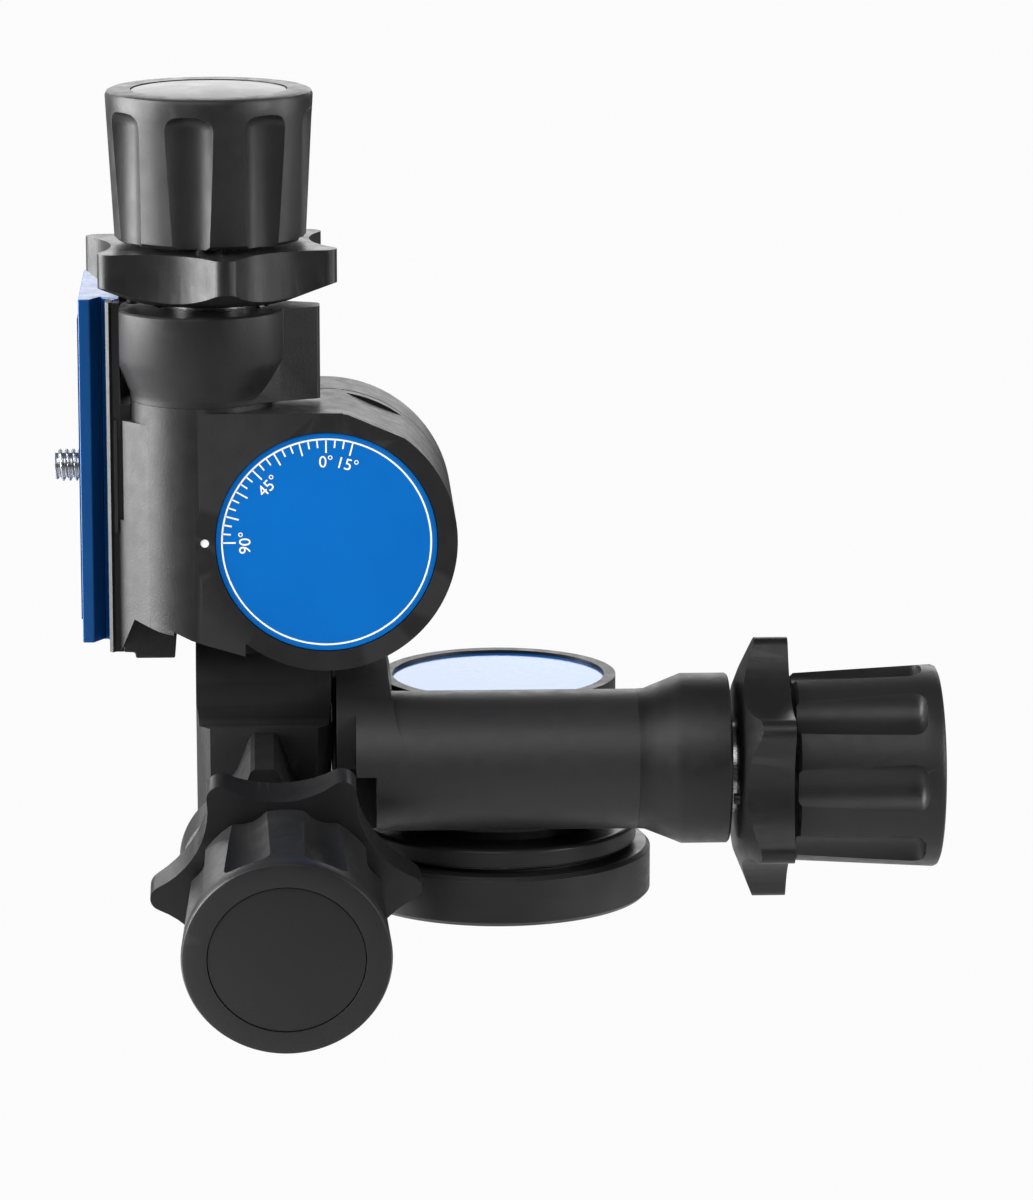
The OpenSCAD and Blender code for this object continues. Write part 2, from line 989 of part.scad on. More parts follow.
// ---- camera clamp and plate ----
plate_out = 79.9;
plate_y = -4;
plate_z = side_z + collar_t - 0.4 - plate_len / 2;
screw_z = plate_z - 2;
clamp_out = 74.7;
clamp_in = 70.2;
clamp_lip = 3;
floor_x = plate_out - plate_t;
clamp_low = 54;
clamp_high = side_z + collar_t - 0.5;
clamp_front = plate_y - plate_w / 2 - clamp_lip;
jaw_y = plate_y + plate_w / 2 - 2.7;
jaw_w = 5.5;
jaw_gap = 0.25;
lock_x = 66.5;
lock_z = 76;
lock_r = 2.5;

// cross-section of the plate from its outer face inwards: depth X, half width Y
module plate_2d(grow) {
    half = plate_w / 2;
    foot = half - 0.4;
    polygon([
        [0, -half],
        [2.2, -half],
        [plate_t - 3.6 - grow, -foot + 2.8 - grow],
        [plate_t - 3.2 - grow, -foot + 2.8 - grow],
        [plate_t - 0.8 - grow, -foot - grow],
        [plate_t + grow, -foot - grow],
        [plate_t + grow, foot + grow],
        [plate_t - 0.8 - grow, foot + grow],
        [plate_t - 3.2 - grow, foot - 2.8 + grow],
        [plate_t - 3.6 - grow, foot - 2.8 + grow],
        [2.2, half],
        [0, half]
    ]);
}

module plate_bar(grow, z0, z1) {
    translate([-plate_out, plate_y, z0])
        linear_extrude(z1 - z0)
            plate_2d(grow);
}

module camera_plate() {
    color(blue_dial)
    difference() {
        plate_bar(0, plate_z - plate_len / 2, plate_z + plate_len / 2);
        for (s = [-1, 1])
            translate([-plate_out - 1, plate_y + s * 11.2 - 5, plate_z - plate_len / 2 + 4])
                cube([1.4, 10, plate_len - 8]);
        translate([-plate_out - 1, plate_y, screw_z])
            rotate([0, 90, 0])
                cylinder(r = screw_r + 0.1, h = 20);
        translate([-plate_out + plate_t - 3.2, plate_y, screw_z])
            rotate([0, 90, 0])
                cylinder(r = 7.2, h = 10);
    }
}

module plate_pads() {
    color([0.06, 0.06, 0.06])
    for (s = [-1, 1])
        translate([-plate_out - 0.3, plate_y + s * 11.2 - 4.95, plate_z - plate_len / 2 + 4.05])
            cube([0.7, 9.9, plate_len - 8.1]);
}

// captive screw: its shank is relieved where it passes through the plate
module camera_screw() {
    relief = 0.5;
    color(steel)
    difference() {
        translate([-plate_out - screw_out, plate_y, screw_z])
            rotate([0, 90, 0]) {
                cylinder(r = screw_r, h = screw_out - relief);
                cylinder(r = screw_r - 0.6, h = screw_out + plate_t - 3);
                translate([0, 0, screw_out + plate_t - 3.1])
                    cylinder(r = 7, h = 2.3);
            }
        translate([-plate_out + plate_t - 1.9, plate_y - 8, screw_z - 0.7])
            cube([3, 16, 1.4]);
    }
}

// channel along the plate, its front lip fixed, with a boss behind for the lock screw
module clamp_base() {
    color(black_satin)
    difference() {
        union() {
            translate([-clamp_out, clamp_front, clamp_low])
                cube([clamp_out - clamp_in, jaw_y - jaw_gap - clamp_front,
                    clamp_high - clamp_low]);
            translate([-clamp_in - 0.5, clamp_front + 2, side_z - 14])
                cube([9, jaw_y - jaw_gap - clamp_front - 2, 38]);
            translate([-floor_x + 0.2, jaw_y - jaw_gap - 7, lock_z - 9])
                cube([10, 7, 18]);
            translate([0, jaw_y - jaw_gap - 4, 0])
                rotate([90, 0, 0])
                    linear_extrude(jaw_y - jaw_gap - 4 - clamp_front)
                        polygon([
                            [-clamp_out, clamp_low],
                            [-70, clamp_low],
                            [-69.8, clamp_low - 1.2],
                            [-62.4, clamp_low - 1.2],
                            [-62.0, 57.7],
                            [-69.1, 61.0],
                            [-clamp_out, 63.0]
                        ]);
        }
        plate_bar(face_fit, clamp_low - 5, clamp_high + 5);
        translate([-side_x - axis_gap - tube_out, -side_front + tube_r, 0])
            cylinder(r = tube_r, h = side_z + seam_t);
        at_side()
            translate([seam_t - 1, -axis_gap - tube_out, side_tube])
                rotate([0, 90, 0])
                    cylinder(r = flare_r + 0.3, h = 40);
        translate([-side_x, 30, side_z])
            rotate([90, 0, 0])
                cylinder(r = side_r + 0.5, h = 80);
        translate([-lock_x, jaw_y + 8, lock_z])
            rotate([90, 0, 0])
                cylinder(r = lock_r + turn_fit, h = 16);
    }
}

// moving jaw with an ear for the lock screw
module clamp_jaw() {
    color(black_satin)
    difference() {
        union() {
            translate([-clamp_out, jaw_y, clamp_low + 4])
                cube([clamp_out - clamp_in, jaw_w, clamp_high - clamp_low - 8]);
            translate([-clamp_out, jaw_y, lock_z - 9])
                cube([clamp_out - lock_x + 5.2, jaw_w, 18]);
        }
        plate_bar(face_fit, clamp_low - 5, clamp_high + 5);
        translate([-lock_x, jaw_y + 8, lock_z])
            rotate([90, 0, 0])
                cylinder(r = lock_r + turn_fit, h = 16);
    }
}

module clamp_screw() {
    color(steel)
    translate([-lock_x, jaw_y - 6.3, lock_z])
        rotate([-90, 0, 0])
            cylinder(r = lock_r, h = jaw_w + 10.5);
}

module clamp_knob() {
    color(black_knob)
    difference() {
        translate([-lock_x, jaw_y + jaw_w + 0.1, lock_z])
            rotate([-90, 0, 0])
                difference() {
                    cylinder(r = 7.6, h = 8.5);
                    for (i = [0 : 7])
                        rotate([0, 0, 45 * i])
                            translate([8.6, 0, -1])
                                cylinder(r = 1.9, h = 12);
                }
        translate([-lock_x, jaw_y + jaw_w - 1, lock_z])
            rotate([-90, 0, 0])
                cylinder(r = lock_r, h = 5.2);
    }
}

// ---- moving shafts, knobs and collars, once for each drive ----
module pan_worm() {
    at_pan()
        worm_shaft();
}

module pan_knob() {
    at_pan()
        knob(0);
}

module pan_knob_cap() {
    at_pan()
        knob_cap();
}

module pan_collar() {
    at_pan()
        collar(0);
}

module pan_sleeve() {
    at_pan()
        sleeve();
}

module pan_spring() {
    at_pan()
        spring();
}

module front_worm() {
    at_front()
        worm_shaft();
}

module front_knob() {
    at_front()
        knob(22.5);
}

module front_knob_cap() {
    at_front()
        knob_cap();
}

module front_collar() {
    at_front()
        collar(2);
}

module front_sleeve() {
    at_front()
        sleeve();
}

module front_spring() {
    at_front()
        spring();
}

module side_worm() {
    at_side()
        worm_shaft();
}

module side_knob() {
    at_side()
        knob(-11);
}

module side_knob_cap() {
    at_side()
        knob_cap();
}

module side_collar() {
    at_side()
        collar(7);
}

module side_sleeve() {
    at_side()
        sleeve();
}

module side_spring() {
    at_side()
        spring();
}

base_ring();
index_ring();
pan_spindle();
pan_thrust_washer();
pan_wheel();
pan_nut();
pan_housing();
pan_cap();
pan_neck();
pan_bush();
front_spindle();
front_wheel();
front_nut();
pan_worm();
pan_knob();
pan_knob_cap();
pan_collar();
pan_sleeve();
pan_spring();
front_housing();
front_neck();
front_bush();
front_dial();
side_bracket();
side_spindle();
side_wheel();
side_nut();
side_dial();
front_worm();
front_knob();
front_knob_cap();
front_collar();
front_sleeve();
front_spring();
side_housing();
side_neck();
side_bush();
index_dot();
clamp_base();
clamp_jaw();
clamp_screw();
clamp_knob();
side_worm();
side_knob();
side_knob_cap();
side_collar();
side_sleeve();
side_spring();
camera_plate();
plate_pads();
camera_screw();
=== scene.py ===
# Looks for a geared three-way tripod head: finishes, printed scales, domed knob caps, the
# camera screw's thread, small trim and the studio. Metres, in the frame of the packed
# model: X right, Y away, Z up.
import json
import math

import bmesh
import bpy
from mathutils import Matrix, Vector


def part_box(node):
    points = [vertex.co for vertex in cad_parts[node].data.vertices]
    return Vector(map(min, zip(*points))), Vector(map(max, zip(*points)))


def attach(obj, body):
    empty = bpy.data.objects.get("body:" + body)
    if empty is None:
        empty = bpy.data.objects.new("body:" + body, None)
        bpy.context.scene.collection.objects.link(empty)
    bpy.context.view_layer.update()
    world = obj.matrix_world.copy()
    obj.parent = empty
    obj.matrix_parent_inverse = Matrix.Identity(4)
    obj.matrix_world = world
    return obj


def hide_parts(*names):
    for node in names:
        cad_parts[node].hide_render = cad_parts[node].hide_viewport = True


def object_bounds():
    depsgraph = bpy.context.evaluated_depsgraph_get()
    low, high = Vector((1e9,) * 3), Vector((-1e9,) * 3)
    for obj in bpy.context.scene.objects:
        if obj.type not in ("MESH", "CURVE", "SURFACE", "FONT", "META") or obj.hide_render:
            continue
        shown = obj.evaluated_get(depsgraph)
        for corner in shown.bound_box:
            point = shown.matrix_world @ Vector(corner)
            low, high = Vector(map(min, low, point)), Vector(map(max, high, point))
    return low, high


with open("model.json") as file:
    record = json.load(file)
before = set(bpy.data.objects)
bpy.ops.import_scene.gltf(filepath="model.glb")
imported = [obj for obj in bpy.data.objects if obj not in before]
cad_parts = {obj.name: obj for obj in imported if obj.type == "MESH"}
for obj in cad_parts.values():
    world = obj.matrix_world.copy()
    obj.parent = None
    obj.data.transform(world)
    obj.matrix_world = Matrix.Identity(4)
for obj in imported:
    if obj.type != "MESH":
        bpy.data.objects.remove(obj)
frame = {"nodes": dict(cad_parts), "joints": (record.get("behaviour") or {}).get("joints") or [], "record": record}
cad_low, cad_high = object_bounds()
nodes = frame["nodes"]
MM = 0.001
UNITS = ("pan", "front", "side")


# ---------------------------------------------------------------- small helpers
def centre_of(node):
    low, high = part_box(node)
    return (low + high) / 2


# A drive's shaft: a point on it and its direction from the wheel to the knob.
def shaft(unit):
    joint = next(j for j in frame["joints"] if j["name"] == unit + "_knob_turn")
    return Vector(joint["pos_m"]), Vector(joint["axis"]).normalized()


def add_object(name, data):
    thing = bpy.data.objects.new(name, data)
    bpy.context.scene.collection.objects.link(thing)
    return thing


def new_piece(name, mesh, body, slot_name, material=None):
    piece = add_object(name, mesh)
    piece.data.materials.clear()
    piece.data.materials.append(material or looks[slot_name])
    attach(piece, body)
    return piece


def mesh_from(name, verts, faces):
    mesh = bpy.data.meshes.new(name)
    mesh.from_pydata(verts, [], faces)
    mesh.validate()
    mesh.update()
    return mesh


# A closed skin with all its faces turned outward.
def solid_mesh(name, verts, faces):
    mesh = mesh_from(name, verts, faces)
    work = bmesh.new()
    work.from_mesh(mesh)
    bmesh.ops.recalc_face_normals(work, faces=work.faces)
    work.to_mesh(mesh)
    work.free()
    return mesh


def circle_angles(count):
    return [2 * math.pi * i / count for i in range(count)]


# Quads between two closed rings of points, given the number of each ring's first point.
def band(first, second, count):
    return [(first + i, first + (i + 1) % count, second + (i + 1) % count, second + i)
            for i in range(count)]


# ---------------------------------------------------------------- materials
# Noise scales are in cycles a metre. A range is the span of noise, or of pointiness, over
# which a mix goes from nothing to its full share.
DRIFT_SCALE = 45.0
SPECK_RANGE = (0.5, 0.8)
SPECK_MIX = 0.35
# How much brighter a speck is, as a multiple of the drift
SPECK_LIFT = 2.2
# Paler convex edges: part edge wear, part painted highlight.
EDGE_WEAR_AND_HIGHLIGHT_RANGE = (0.54, 0.62)
EDGE_WEAR_AND_HIGHLIGHT_MIX = 0.8
# Scale of the roughness spots, as a share of the grain's
SPOT_SCALE = 0.13
RELIEF_DEPTH = 0.4 * MM
NOISE_ROUGHNESS = 0.55


def link(tree, source, target):
    tree.links.new(source, target)


def noise(tree, coord, scale, detail=3.0):
    node = tree.nodes.new("ShaderNodeTexNoise")
    node.inputs["Scale"].default_value = scale
    node.inputs["Detail"].default_value = detail
    node.inputs["Roughness"].default_value = NOISE_ROUGHNESS
    link(tree, coord, node.inputs["Vector"])
    return node.outputs["Fac"]


def remap(tree, source, low, high, span=(0.3, 0.7)):
    node = tree.nodes.new("ShaderNodeMapRange")
    node.inputs["From Min"].default_value = span[0]
    node.inputs["From Max"].default_value = span[1]
    node.inputs["To Min"].default_value = low
    node.inputs["To Max"].default_value = high
    link(tree, source, node.inputs["Value"])
    return node.outputs["Result"]


# Each side of the mix is a colour or a socket.
def mix_colour(tree, amount, first, second):
    node = tree.nodes.new("ShaderNodeMix")
    node.data_type = "RGBA"
    link(tree, amount, node.inputs["Factor"])
    for socket, value in ((node.inputs["A"], first), (node.inputs["B"], second)):
        if isinstance(value, tuple):
            socket.default_value = (*value, 1.0)
        else:
            link(tree, value, socket)
    return node.outputs["Result"]


def shade(colour, factor):
    return tuple(min(1.0, c * factor) for c in colour)


# One finish: broad colour drift, fine grain in colour, roughness and relief, and paler
# edges where the mesh is convex, part edge wear and part painted highlight.
def finish(name, colour, rough, metal=0.0, drift=0.12, grain=1600.0, relief=0.04,
           rough_spread=0.06, edge=1.0, coat=0.0, coat_rough=0.1, specular=0.5,
           stretch=(1.0, 1.0, 1.0)):
    material = bpy.data.materials.new(name)
    material.use_nodes = True
    tree = material.node_tree
    shader = tree.nodes["Principled BSDF"]
    place = tree.nodes.new("ShaderNodeTexCoord")
    mapping = tree.nodes.new("ShaderNodeMapping")
    mapping.inputs["Scale"].default_value = stretch
    link(tree, place.outputs["Object"], mapping.inputs["Vector"])
    coord = mapping.outputs["Vector"]

    broad = noise(tree, coord, DRIFT_SCALE)
    fine = noise(tree, coord, grain, detail=4.0)
    tone = mix_colour(tree, remap(tree, broad, 0.0, 1.0), shade(colour, 1.0 - drift),
                      shade(colour, 1.0 + drift))
    tone = mix_colour(tree, remap(tree, fine, 0.0, SPECK_MIX, SPECK_RANGE), tone,
                      shade(colour, 1.0 + SPECK_LIFT * drift))
    # Painted highlight and wear: convex edges are lightened by the mesh's pointiness.
    if edge > 1.0:
        geometry = tree.nodes.new("ShaderNodeNewGeometry")
        wear_and_highlight = remap(tree, geometry.outputs["Pointiness"], 0.0, EDGE_WEAR_AND_HIGHLIGHT_MIX, EDGE_WEAR_AND_HIGHLIGHT_RANGE)
        tone = mix_colour(tree, wear_and_highlight, tone, shade(colour, edge))
    link(tree, tone, shader.inputs["Base Color"])
    spots = remap(tree, noise(tree, coord, grain * SPOT_SCALE), rough - rough_spread,
                  rough + rough_spread)
    link(tree, spots, shader.inputs["Roughness"])
    shader.inputs["Metallic"].default_value = metal
    shader.inputs["Specular IOR Level"].default_value = specular
    shader.inputs["Coat Weight"].default_value = coat
    shader.inputs["Coat Roughness"].default_value = coat_rough
    bump = tree.nodes.new("ShaderNodeBump")
    bump.inputs["Strength"].default_value = relief
    bump.inputs["Distance"].default_value = RELIEF_DEPTH
    link(tree, fine, bump.inputs["Height"])
    link(tree, bump.outputs["Normal"], shader.inputs["Normal"])
    return material


# One finish for each material slot of the record
looks = {
    "body_black": finish("cast_satin_black", (0.0085, 0.0085, 0.0090), 0.43,
                         grain=2600.0, relief=0.10, edge=2.6, specular=0.30),
    "base_black": finish("turned_satin_black", (0.0150, 0.0150, 0.0155), 0.36,
                         grain=1800.0, relief=0.05, edge=2.6, specular=0.30,
                         stretch=(1.0, 1.0, 6.0)),
    "deep_black": finish("dull_black", (0.004, 0.004, 0.0042), 0.6, relief=0.03),
    "knob_black": finish("moulded_knob_black", (0.0125, 0.0125, 0.0130), 0.40,
                         grain=2200.0, relief=0.08, edge=1.9, specular=0.30),
    "cap_black": finish("domed_cap_black", (0.0080, 0.0082, 0.0090), 0.30,
                        grain=1500.0, relief=0.02, rough_spread=0.03, specular=0.32),
    "collar_black": finish("moulded_collar_black", (0.0095, 0.0095, 0.0100), 0.38,
                           grain=2200.0, relief=0.07, edge=2.4, specular=0.32),
    "blue": finish("anodised_blue", (0.001, 0.060, 0.220), 0.36, metal=0.25,
                   grain=3200.0, relief=0.05, drift=0.06, edge=1.5, coat=0.2,
                   coat_rough=0.15, specular=0.35),
    "dial_blue": finish("dial_blue", (0.000, 0.118, 0.430), 0.45, grain=3400.0,
                        relief=0.03, drift=0.05, specular=0.12),
    "steel": finish("turned_steel", (0.50, 0.50, 0.51), 0.28, metal=1.0, grain=900.0,
                    relief=0.05, stretch=(1.0, 1.0, 8.0)),
    "bronze": finish("machined_bronze", (0.52, 0.34, 0.15), 0.32, metal=1.0,
                     grain=900.0, relief=0.05, stretch=(1.0, 1.0, 6.0)),
    "pad_rubber": finish("ribbed_rubber", (0.012, 0.012, 0.012), 0.75, grain=1200.0,
                         relief=0.2),
    "dot_white": finish("white_paint", (0.80, 0.80, 0.80), 0.45, grain=1500.0,
                        relief=0.02, drift=0.04),
}
# The pan drum's disc is polished, unlike the camera plate of the same slot.
mirror_blue = finish("polished_blue_disc", (0.001, 0.125, 0.455), 0.12, metal=0.2,
                     grain=3000.0, relief=0.008, rough_spread=0.02, drift=0.05,
                     specular=0.45)
ink = finish("printed_white", (0.86, 0.88, 0.90), 0.5, grain=2600.0, relief=0.02,
             drift=0.03)


# ---------------------------------------------------------------- finish of the CAD nodes
# Edges that turn by more than this stay sharp and get a bevel.
SHARP_ANGLE = math.radians(28)
WELD_DISTANCE = 0.002 * MM
# Bevel width in mm for each slot; the slots left out have none
BEVELS = {"body_black": 0.45, "base_black": 0.3, "knob_black": 0.35, "cap_black": 0.15,
          "collar_black": 0.4, "blue": 0.25, "dial_blue": 0.2, "steel": 0.1}
# Inner pieces with fine teeth, coils or flats, and one casting whose flat back shows lines
# where it is bevelled
NO_BEVEL = {unit + "_" + piece for unit in UNITS
            for piece in ("worm", "spring", "wheel", "nut")}
NO_BEVEL.add("side_bracket")


# A node group that welds split corners and sets which edges are shaded sharp.
def softener():
    group = bpy.data.node_groups.new("soft_shading", "GeometryNodeTree")
    for direction in ("INPUT", "OUTPUT"):
        group.interface.new_socket("Geometry", in_out=direction,
                                   socket_type="NodeSocketGeometry")
    start = group.nodes.new("NodeGroupInput")
    stop = group.nodes.new("NodeGroupOutput")
    weld = group.nodes.new("GeometryNodeMergeByDistance")
    weld.inputs["Distance"].default_value = WELD_DISTANCE
    faces = group.nodes.new("GeometryNodeSetShadeSmooth")
    faces.domain = "FACE"
    faces.inputs["Shade Smooth"].default_value = True
    angle = group.nodes.new("GeometryNodeInputMeshEdgeAngle")
    turned = group.nodes.new("FunctionNodeCompare")
    turned.operation = "GREATER_THAN"
    turned.inputs["B"].default_value = SHARP_ANGLE
    edges = group.nodes.new("GeometryNodeSetShadeSmooth")
    edges.domain = "EDGE"
    edges.inputs["Shade Smooth"].default_value = False
    link(group, start.outputs[0], weld.inputs["Geometry"])
    link(group, weld.outputs[0], faces.inputs["Geometry"])
    link(group, faces.outputs[0], edges.inputs["Geometry"])
    link(group, angle.outputs["Unsigned Angle"], turned.inputs["A"])
    link(group, turned.outputs["Result"], edges.inputs["Selection"])
    link(group, edges.outputs[0], stop.inputs[0])
    return group


SOFT = softener()


def dress(piece, bevel_width=0.0):
    soft = piece.modifiers.new("soft_shading", "NODES")
    soft.node_group = SOFT
    if bevel_width:
        bevel = piece.modifiers.new("small_bevel", "BEVEL")
        bevel.width = bevel_width * MM
        bevel.segments = 2
        bevel.limit_method = "ANGLE"
        bevel.angle_limit = SHARP_ANGLE
        bevel.harden_normals = True
        bevel.use_clamp_overlap = True


slot_of = {part["node"]: part["material_slot"] for part in frame["record"]["subparts"]}
for name, node in nodes.items():
    slot_name = slot_of[name]
    node.data.materials.clear()
    node.data.materials.append(looks[slot_name])
    dress(node, 0.0 if name in NO_BEVEL else BEVELS.get(slot_name, 0.0))
nodes["pan_cap"].data.materials[0] = mirror_blue


# ---------------------------------------------------------------- printed scales
# Flat ink in the XY plane of a scale's own frame: X right and Y up as it is read. Its
# angles run from 90 degrees at the left, over 0 at the top, to 15 at the right of it.
INK_THICKNESS = 0.03 * MM
RING_WIDTH = 0.32 * MM
RING_STEPS = 160
TICK_WIDTH = 0.28 * MM
TICK_EVERY = 5
LONG_TICK_EVERY = 15
LONG_TICK = 2.6 * MM
SHORT_TICK = 1.6 * MM
NUMBER_HEIGHT = 3.1 * MM
# From the ring in to the middle of a number
NUMBER_INSET = 4.4 * MM
NUMBERS = (("0°", 0), ("15°", -15), ("45°", 45), ("90°", 90))
SIDE_RING_RADIUS = 19.6 * MM
FRONT_RING_RADIUS = 14.9 * MM


def ink_ring(work, radius):
    rows = [[work.verts.new((edge * math.cos(a), edge * math.sin(a), 0))
             for a in circle_angles(RING_STEPS)]
            for edge in (radius - RING_WIDTH / 2, radius + RING_WIDTH / 2)]
    for i in range(RING_STEPS):
        k = (i + 1) % RING_STEPS
        work.faces.new((rows[0][i], rows[1][i], rows[1][k], rows[0][k]))


def ink_tick(work, angle, inner, outer):
    turn = Matrix.Rotation(angle, 4, "Z")
    half = TICK_WIDTH / 2
    corners = ((-half, inner), (half, inner), (half, outer), (-half, outer))
    work.faces.new([work.verts.new(turn @ Vector((x, y, 0))) for x, y in corners])


def ink_number(work, text, angle, radius):
    curve = bpy.data.curves.new("number", "FONT")
    curve.body = text
    curve.size = NUMBER_HEIGHT
    curve.align_x = "CENTER"
    curve.align_y = "CENTER"
    shape = add_object("number", curve)
    mesh = shape.to_mesh().copy()
    shape.to_mesh_clear()
    bpy.data.objects.remove(shape)
    mesh.transform(Matrix.Rotation(angle, 4, "Z") @ Matrix.Translation((0, radius, 0)))
    work.from_mesh(mesh)
    bpy.data.meshes.remove(mesh)


def scale_marks(name, ring_radius, to_model, body):
    work = bmesh.new()
    ink_ring(work, ring_radius)
    for degrees in range(-15, 90 + TICK_EVERY, TICK_EVERY):
        length = SHORT_TICK if degrees % LONG_TICK_EVERY else LONG_TICK
        ink_tick(work, math.radians(degrees), ring_radius - length, ring_radius)
    for text, degrees in NUMBERS:
        ink_number(work, text, math.radians(degrees), ring_radius - NUMBER_INSET)
    mesh = bpy.data.meshes.new(name)
    work.to_mesh(mesh)
    work.free()
    mesh.transform(to_model)
    piece = new_piece(name, mesh, body, "dot_white", ink)
    skin = piece.modifiers.new("ink_thickness", "SOLIDIFY")
    skin.thickness = INK_THICKNESS
    skin.offset = 1.0


facing_viewer = Matrix.Rotation(math.radians(90), 4, "X")
facing_left = Matrix.Rotation(math.radians(-90), 4, "Z") @ facing_viewer

side_face = centre_of("side_dial")
side_face.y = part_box("side_dial")[0].y
scale_marks("side_scale_marks", SIDE_RING_RADIUS,
            Matrix.Translation(side_face) @ facing_viewer, "front_tilt")

front_face = centre_of("front_dial")
front_face.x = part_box("front_dial")[0].x
scale_marks("front_scale_marks", FRONT_RING_RADIUS,
            Matrix.Translation(front_face) @ facing_left, "pan")


# ---------------------------------------------------------------- knob caps
# A shallow dome with a rounded rim, turned about the shaft in even rings. It takes its
# radius and its two end planes from the plain cap that it replaces.
CAP_DOME = 0.9 * MM
CAP_LIP = 0.25 * MM
CAP_LIP_STEPS = 4
CAP_RINGS = 20
CAP_AROUND = 96


def knob_cap(unit):
    foot, axis = shaft(unit)
    points = [v.co - foot for v in nodes[unit + "_knob_cap"].data.vertices]
    heights = [p.dot(axis) for p in points]
    low, high = min(heights), max(heights)
    radius = max((p - axis * h).length for p, h in zip(points, heights))
    sphere = (radius * radius + CAP_DOME * CAP_DOME) / (2 * CAP_DOME)
    flat = radius - CAP_LIP
    profile = []
    for ring in range(1, CAP_RINGS + 1):
        r = flat * ring / CAP_RINGS
        profile.append((r, high - sphere + math.sqrt(sphere * sphere - r * r)))
    rim = profile[-1][1]
    for step in range(1, CAP_LIP_STEPS + 1):
        a = math.radians(90 * step / CAP_LIP_STEPS)
        profile.append((flat + CAP_LIP * math.sin(a), rim - CAP_LIP * (1 - math.cos(a))))
    profile.append((radius, low))

    side = axis.orthogonal().normalized()
    up = axis.cross(side)
    verts = [foot + axis * high]
    verts += [foot + axis * h + side * (r * math.cos(a)) + up * (r * math.sin(a))
              for r, h in profile for a in circle_angles(CAP_AROUND)]
    faces = [(0, 1 + i, 1 + (i + 1) % CAP_AROUND) for i in range(CAP_AROUND)]
    starts = [1 + k * CAP_AROUND for k in range(len(profile))]
    for first, second in zip(starts, starts[1:]):
        faces += band(first, second, CAP_AROUND)
    faces.append(tuple(starts[-1] + CAP_AROUND - 1 - i for i in range(CAP_AROUND)))
    mesh = solid_mesh(unit + "_domed_cap", verts, faces)
    cap = new_piece(unit + "_domed_cap", mesh, unit + "_drive", "cap_black")
    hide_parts(unit + "_knob_cap")
    dress(cap)


for unit in UNITS:
    knob_cap(unit)


# ---------------------------------------------------------------- camera screw
# A quarter-inch screw with twenty turns to the inch, along X with its tip at the left. It
# is one skin whose radius follows the thread.
THREAD_PITCH = 1.27 * MM
THREAD_OUTER = 3.175 * MM
THREAD_ROOT = 2.45 * MM
# Slope of a flank, and the share of its height at which the crest is cut flat
THREAD_SLOPE = 1.25
THREAD_CREST = 0.85
# Over the lead-in the thread rises from a share of its height, at the tip, to all of it.
LEAD_IN = 0.9 * MM
TIP_SHARE = 0.35
HEAD_HEIGHT = 2.2 * MM
HEAD_CHAMFER = 0.3 * MM
SCREW_AROUND = 72
SCREW_ALONG = 150


def thread_radius(x, turn):
    phase = (x / THREAD_PITCH - turn) % 1.0
    ridge = max(0.0, 1.0 - abs(2 * phase - 1.0) * THREAD_SLOPE)
    ridge = min(ridge, THREAD_CREST) / THREAD_CREST
    start = TIP_SHARE + (1 - TIP_SHARE) * min(1.0, x / LEAD_IN)
    return THREAD_ROOT + (THREAD_OUTER - THREAD_ROOT) * ridge * start


def camera_screw():
    low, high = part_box("camera_screw")
    middle = (low + high) / 2
    length = high.x - low.x
    head_radius = (high.z - low.z) / 2
    shank = length - HEAD_HEIGHT
    small = head_radius - HEAD_CHAMFER
    # each ring is its place along the screw and its radius at every angle
    rings = []
    for k in range(SCREW_ALONG + 1):
        x = shank * k / SCREW_ALONG
        rings.append((x, [thread_radius(x, i / SCREW_AROUND) for i in range(SCREW_AROUND)]))
    for x, radius in ((shank, small), (shank + HEAD_CHAMFER, head_radius),
                      (length - HEAD_CHAMFER, head_radius), (length, small)):
        rings.append((x, [radius] * SCREW_AROUND))
    verts = [(low.x + x, middle.y + radius * math.cos(a), middle.z + radius * math.sin(a))
             for x, radii in rings for radius, a in zip(radii, circle_angles(SCREW_AROUND))]
    starts = [k * SCREW_AROUND for k in range(len(rings))]
    faces = []
    for first, second in zip(starts, starts[1:]):
        faces += band(first, second, SCREW_AROUND)
    faces.append(tuple(reversed(range(SCREW_AROUND))))
    faces.append(tuple(starts[-1] + i for i in range(SCREW_AROUND)))
    mesh = solid_mesh("camera_screw_thread", verts, faces)
    screw = new_piece("camera_screw_thread", mesh, "camera_screw", "steel")
    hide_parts("camera_screw")
    dress(screw)


camera_screw()


# ---------------------------------------------------------------- clamp trim
# Sizes in mm from the clamp base's lower left front corner: X right, Y away, Z up.
clamp_corner, clamp_far_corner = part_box("clamp_base")
CLAMP_TOP = (clamp_far_corner.z - clamp_corner.z) / MM
# The side drive's tube: how far its centre lies left of and in front of the shaft, and
# its radius
TUBE_OFFSET = Vector((-2.0, -3.1))
TUBE_RADIUS = 13.4
tube = ((shaft("side")[0] - clamp_corner) / MM).xy + TUBE_OFFSET
# A flat web closes the corner between the clamp's front face and the tube. Its lower edge
# has a toe at the left end, a heel beside it and a bottom from there to the tube.
WEB_LEFT = Vector((2.0, 0.0))
WEB_TOE = 1.0
WEB_HEEL = 8.1
WEB_BOTTOM = 7.2
HEEL_ALONG = 4.2
# Above its full width a slot parts the web from a narrow ridge.
SLOT_WIDTH = 1.5
SLOT_BOTTOM = 26.8
SLOT_TOP = 45.9
RIDGE_BOTTOM = 24.2
HEM_TOP = 13.2
HEM_WALL = 1.6
HEM_STEP = math.radians(6)
# How far the web reaches into the casting behind it
SUNK = 3.0
# Overlap of the web's two pieces, and how far the lip's strip stays below the clamp's top
LAP = 0.1
# Keeps two flush faces apart
HAIR = 0.02


